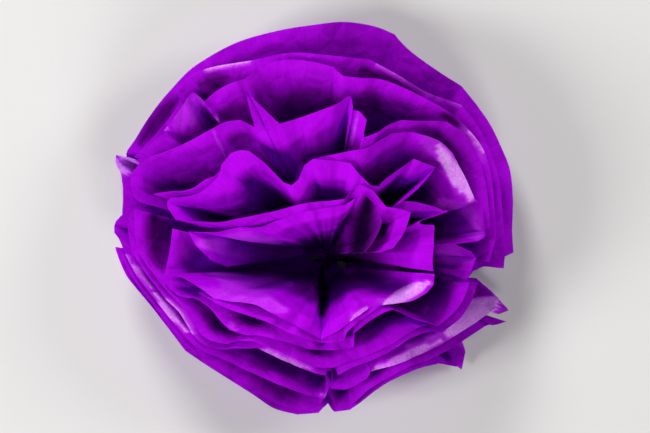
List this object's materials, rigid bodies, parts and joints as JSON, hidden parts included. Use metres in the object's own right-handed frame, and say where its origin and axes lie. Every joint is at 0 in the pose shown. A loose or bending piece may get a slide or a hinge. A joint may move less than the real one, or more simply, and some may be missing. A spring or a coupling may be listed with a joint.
{
  "type": "tissue paper flower",
  "caption": "Ruffled flower of pleated tissue sheets, tied across the middle and fanned out layer by layer into a full dome that rests on a table as a decoration.",
  "frame": {"origin": "middle of the round outline, on the flat underside that the flower rests on", "axes": "+Z up from the table; +X right and +Y up as the picture shows the flower from above"},
  "size_m": [0.2189, 0.2145, 0.096],
  "materials": {
    "tissue": "satin, thin and slightly see-through",
    "wire": "dull"
  },
  "bodies": {
    "root": {"sheet_1": "tissue", "sheet_2": "tissue", "sheet_3": "tissue", "sheet_4": "tissue", "sheet_5": "tissue", "sheet_6": "tissue", "sheet_7": "tissue", "sheet_8": "tissue", "wire_tie": "wire"}
  },
  "joints": []
}
